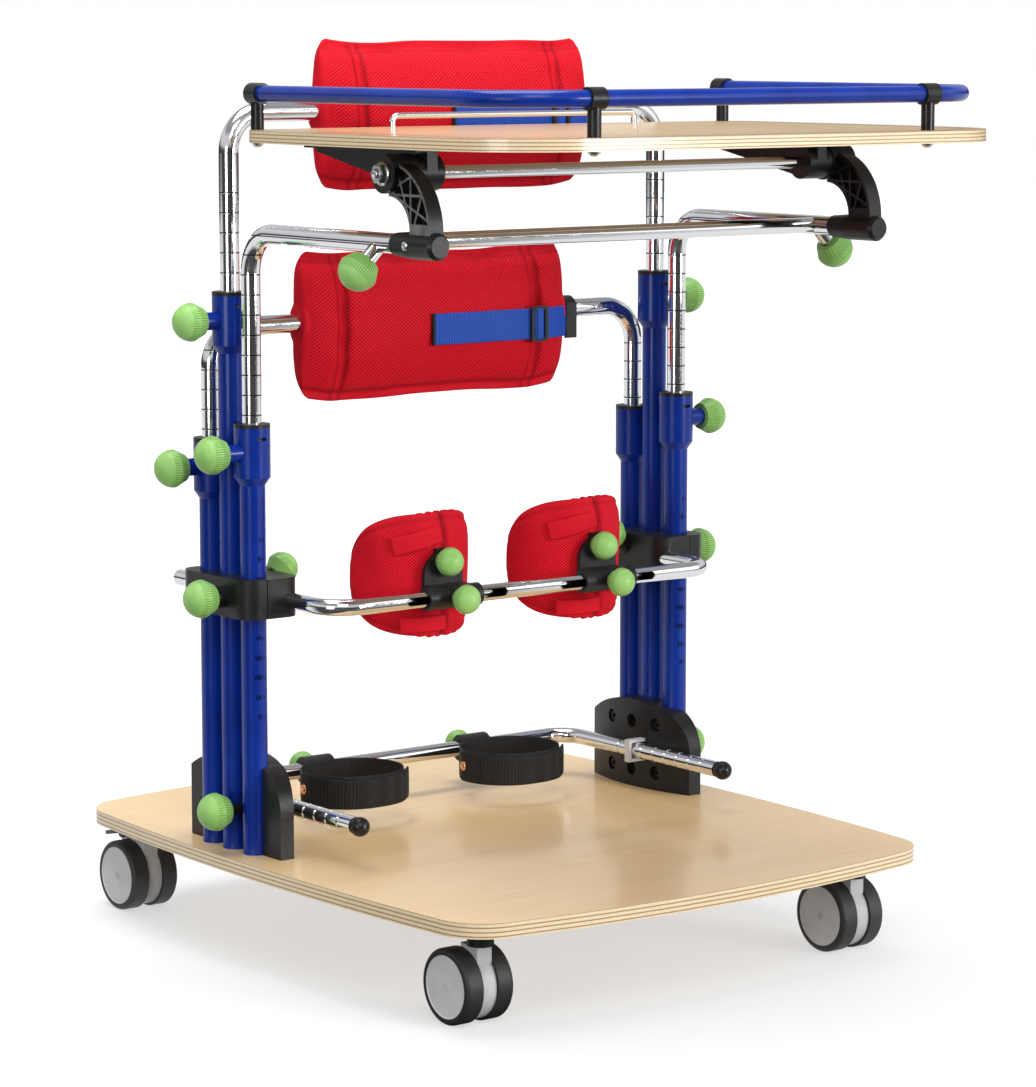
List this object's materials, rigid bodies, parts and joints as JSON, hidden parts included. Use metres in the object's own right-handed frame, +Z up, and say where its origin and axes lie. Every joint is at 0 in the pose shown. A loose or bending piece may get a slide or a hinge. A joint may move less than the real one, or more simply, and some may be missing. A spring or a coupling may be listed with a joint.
{
  "type": "standing frame",
  "caption": "Wheeled child standing frame with a railed tilting tray, sliding back pads, knee cups and heel straps on clamp-knob columns.",
  "frame": {"origin": "centre of the bounding box on the floor under the wheels", "axes": "+Z up, X across the frame, the tray side faces -Y and the user faces -Y"},
  "size_m": [0.687, 0.8259, 0.9315],
  "materials": {
    "plywood": "clear lacquer",
    "dark_metal": "zinc plate",
    "blue_paint": "gloss powder coat",
    "black_plastic": "moulded, fine grain",
    "steel": "zinc plate",
    "grey_plastic": "moulded",
    "chrome": "bright plate",
    "black_webbing": "ribbed webbing",
    "red_mesh": "spacer mesh over foam",
    "green_plastic": "moulded"
  },
  "bodies": {
    "base": {"base_board": "plywood", "caster_plates": "dark_metal", "tray_uprights": "blue_paint", "dorsal_uprights": "blue_paint", "pelvic_uprights": "blue_paint", "guide_bushes": "black_plastic", "foot_blocks": "black_plastic", "block_screws": "steel", "bar_stirrups": "steel"},
    "tray_lift": {"tray_frame": "chrome"},
    "tray_reach": {"hinge_arms": "black_plastic", "hinge_rod": "chrome"},
    "tray": {"tray_brackets": "black_plastic", "tray_board": "plywood", "tray_rail": "blue_paint", "rail_posts": "black_plastic", "book_stop": "chrome"},
    "dorsal": {"dorsal_arms": "chrome", "dorsal_pad": "red_mesh", "dorsal_buckles": "black_plastic"},
    "pelvic": {"pelvic_arms": "chrome", "pelvic_pad": "red_mesh", "pelvic_buckles": "black_plastic"},
    "knee_carriage": {"knee_clamps": "black_plastic"},
    "knee_arm": {"knee_bar": "chrome"},
    "heel": {"heel_bar": "chrome", "heel_bar_caps": "black_plastic"},
    "knee_l": {"knee_bracket_l": "black_plastic"},
    "knee_cup_l": {"knee_pad_l": "red_mesh"},
    "knee_r": {"knee_bracket_r": "black_plastic"},
    "knee_cup_r": {"knee_pad_r": "red_mesh"},
    "strap_l": {"strap_carrier_l": "black_plastic", "foot_strap_l": "black_webbing"},
    "strap_r": {"strap_carrier_r": "black_plastic", "foot_strap_r": "black_webbing"},
    "caster_fl": {"caster_fork_fl": "grey_plastic"},
    "wheels_fl": {"caster_wheels_fl": "grey_plastic"},
    "caster_fr": {"caster_fork_fr": "grey_plastic"},
    "wheels_fr": {"caster_wheels_fr": "grey_plastic"},
    "caster_rl": {"caster_fork_rl": "grey_plastic"},
    "wheels_rl": {"caster_wheels_rl": "grey_plastic"},
    "caster_rr": {"caster_fork_rr": "grey_plastic"},
    "wheels_rr": {"caster_wheels_rr": "grey_plastic"},
    "pedal_rl": {"brake_pedal_rl": "black_plastic"},
    "pedal_rr": {"brake_pedal_rr": "black_plastic"},
    "tray_height_knobs_body": {"tray_height_knobs": "green_plastic"},
    "dorsal_height_knobs_body": {"dorsal_height_knobs": "green_plastic"},
    "pelvic_height_knobs_body": {"pelvic_height_knobs": "green_plastic"},
    "heel_bar_knobs_body": {"heel_bar_knobs": "green_plastic"},
    "knee_height_knobs_body": {"knee_height_knobs": "green_plastic"},
    "tray_depth_knob_l_body": {"tray_depth_knob_l": "green_plastic"},
    "knee_depth_knob_l_body": {"knee_depth_knob_l": "green_plastic"},
    "knee_turn_knob_l_body": {"knee_turn_knob_l": "green_plastic"},
    "knee_slide_knob_l_body": {"knee_slide_knob_l": "green_plastic"},
    "strap_knob_l_body": {"strap_knob_l": "green_plastic"},
    "tray_depth_knob_r_body": {"tray_depth_knob_r": "green_plastic"},
    "knee_depth_knob_r_body": {"knee_depth_knob_r": "green_plastic"},
    "knee_turn_knob_r_body": {"knee_turn_knob_r": "green_plastic"},
    "knee_slide_knob_r_body": {"knee_slide_knob_r": "green_plastic"},
    "strap_knob_r_body": {"strap_knob_r": "green_plastic"}
  },
  "joints": [
    {"name": "tray_height", "type": "slide", "parent": "base", "child": "tray_lift", "axis": [0, 0, 1], "range_m": [-0.13, 0.08]},
    {"name": "tray_depth", "type": "slide", "parent": "tray_lift", "child": "tray_reach", "axis": [0, -1, 0], "range_m": [0, 0.09]},
    {"name": "tray_tilt", "type": "hinge", "parent": "tray_reach", "child": "tray", "pos_m": [0, -0.173, 0.808], "axis": [-1, 0, 0], "range_deg": [0, 20]},
    {"name": "dorsal_height", "type": "slide", "parent": "base", "child": "dorsal", "axis": [0, 0, 1], "range_m": [-0.028, 0.08]},
    {"name": "pelvic_height", "type": "slide", "parent": "base", "child": "pelvic", "axis": [0, 0, 1], "range_m": [-0.05, 0.028]},
    {"name": "knee_height", "type": "slide", "parent": "base", "child": "knee_carriage", "axis": [0, 0, 1], "range_m": [-0.13, 0.06]},
    {"name": "knee_depth", "type": "slide", "parent": "knee_carriage", "child": "knee_arm", "axis": [0, 1, 0], "range_m": [-0.06, 0.03]},
    {"name": "heel_depth", "type": "slide", "parent": "base", "child": "heel", "axis": [0, 1, 0], "range_m": [-0.08, 0.08]},
    {"name": "knee_slide_l", "type": "slide", "parent": "knee_arm", "child": "knee_l", "axis": [1, 0, 0], "range_m": [-0.025, 0.025]},
    {"name": "knee_turn_l", "type": "hinge", "parent": "knee_l", "child": "knee_cup_l", "pos_m": [-0.1, 0, 0.408], "axis": [0, 1, 0], "range_deg": [-15, 15]},
    {"name": "knee_slide_r", "type": "slide", "parent": "knee_arm", "child": "knee_r", "axis": [1, 0, 0], "range_m": [-0.025, 0.025]},
    {"name": "knee_turn_r", "type": "hinge", "parent": "knee_r", "child": "knee_cup_r", "pos_m": [0.1, 0, 0.408], "axis": [0, 1, 0], "range_deg": [-15, 15]},
    {"name": "strap_slide_l", "type": "slide", "parent": "heel", "child": "strap_l", "axis": [1, 0, 0], "range_m": [-0.028, 0.028]},
    {"name": "strap_slide_r", "type": "slide", "parent": "heel", "child": "strap_r", "axis": [1, 0, 0], "range_m": [-0.028, 0.028]},
    {"name": "swivel_fl", "type": "hinge", "parent": "base", "child": "caster_fl", "pos_m": [-0.239, -0.256, 0.08], "axis": [0, 0, 1], "continuous": true},
    {"name": "roll_fl", "type": "hinge", "parent": "caster_fl", "child": "wheels_fl", "pos_m": [-0.239, -0.236, 0.0375], "axis": [1, 0, 0], "continuous": true},
    {"name": "swivel_fr", "type": "hinge", "parent": "base", "child": "caster_fr", "pos_m": [0.239, -0.256, 0.08], "axis": [0, 0, 1], "continuous": true},
    {"name": "roll_fr", "type": "hinge", "parent": "caster_fr", "child": "wheels_fr", "pos_m": [0.239, -0.236, 0.0375], "axis": [1, 0, 0], "continuous": true},
    {"name": "swivel_rl", "type": "hinge", "parent": "base", "child": "caster_rl", "pos_m": [-0.239, 0.344, 0.08], "axis": [0, 0, 1], "continuous": true},
    {"name": "roll_rl", "type": "hinge", "parent": "caster_rl", "child": "wheels_rl", "pos_m": [-0.239, 0.364, 0.0375], "axis": [1, 0, 0], "continuous": true},
    {"name": "swivel_rr", "type": "hinge", "parent": "base", "child": "caster_rr", "pos_m": [0.239, 0.344, 0.08], "axis": [0, 0, 1], "continuous": true},
    {"name": "roll_rr", "type": "hinge", "parent": "caster_rr", "child": "wheels_rr", "pos_m": [0.239, 0.364, 0.0375], "axis": [1, 0, 0], "continuous": true},
    {"name": "brake_rl", "type": "hinge", "parent": "caster_rl", "child": "pedal_rl", "pos_m": [-0.239, 0.378, 0.08], "axis": [-1, 0, 0], "range_deg": [0, 6.5]},
    {"name": "brake_rr", "type": "hinge", "parent": "caster_rr", "child": "pedal_rr", "pos_m": [0.239, 0.378, 0.08], "axis": [-1, 0, 0], "range_deg": [0, 6.5]},
    {"name": "tray_height_knobs_turn", "type": "hinge", "parent": "base", "child": "tray_height_knobs_body", "pos_m": [0, 0.0765, 0.523], "axis": [1, 0, 0], "continuous": true},
    {"name": "dorsal_height_knobs_turn", "type": "hinge", "parent": "base", "child": "dorsal_height_knobs_body", "pos_m": [0, 0.114, 0.653], "axis": [1, 0, 0], "continuous": true},
    {"name": "pelvic_height_knobs_turn", "type": "hinge", "parent": "base", "child": "pelvic_height_knobs_body", "pos_m": [0, 0.1515, 0.503], "axis": [1, 0, 0], "continuous": true},
    {"name": "heel_bar_knobs_turn", "type": "hinge", "parent": "base", "child": "heel_bar_knobs_body", "pos_m": [0, 0.09525, 0.158], "axis": [1, 0, 0], "continuous": true},
    {"name": "knee_height_knobs_turn", "type": "hinge", "parent": "knee_carriage", "child": "knee_height_knobs_body", "pos_m": [0, 0.09525, 0.377], "axis": [1, 0, 0], "continuous": true},
    {"name": "tray_depth_knob_l_turn", "type": "hinge", "parent": "tray_lift", "child": "tray_depth_knob_l_body", "pos_m": [-0.275, -0.148, 0.742], "axis": [-0.7071, 0, -0.7071], "continuous": true},
    {"name": "knee_depth_knob_l_turn", "type": "hinge", "parent": "knee_carriage", "child": "knee_depth_knob_l_body", "pos_m": [-0.246, 0.114, 0.373], "axis": [0.788, 0, 0.6157], "continuous": true},
    {"name": "knee_turn_knob_l_turn", "type": "hinge", "parent": "knee_l", "child": "knee_turn_knob_l_body", "pos_m": [-0.1, 0, 0.408], "axis": [0, -1, 0], "continuous": true},
    {"name": "knee_slide_knob_l_turn", "type": "hinge", "parent": "knee_l", "child": "knee_slide_knob_l_body", "pos_m": [-0.1, -0.021, 0.373], "axis": [0, -1, 0], "continuous": true},
    {"name": "strap_knob_l_turn", "type": "hinge", "parent": "strap_l", "child": "strap_knob_l_body", "pos_m": [-0.104, 0.219, 0.158], "axis": [0, 1, 0], "continuous": true},
    {"name": "tray_depth_knob_r_turn", "type": "hinge", "parent": "tray_lift", "child": "tray_depth_knob_r_body", "pos_m": [0.275, -0.148, 0.742], "axis": [0.7071, 0, -0.7071], "continuous": true},
    {"name": "knee_depth_knob_r_turn", "type": "hinge", "parent": "knee_carriage", "child": "knee_depth_knob_r_body", "pos_m": [0.246, 0.114, 0.373], "axis": [-0.788, 0, 0.6157], "continuous": true},
    {"name": "knee_turn_knob_r_turn", "type": "hinge", "parent": "knee_r", "child": "knee_turn_knob_r_body", "pos_m": [0.1, 0, 0.408], "axis": [0, -1, 0], "continuous": true},
    {"name": "knee_slide_knob_r_turn", "type": "hinge", "parent": "knee_r", "child": "knee_slide_knob_r_body", "pos_m": [0.1, -0.021, 0.373], "axis": [0, -1, 0], "continuous": true},
    {"name": "strap_knob_r_turn", "type": "hinge", "parent": "strap_r", "child": "strap_knob_r_body", "pos_m": [0.104, 0.219, 0.158], "axis": [0, 1, 0], "continuous": true}
  ]
}
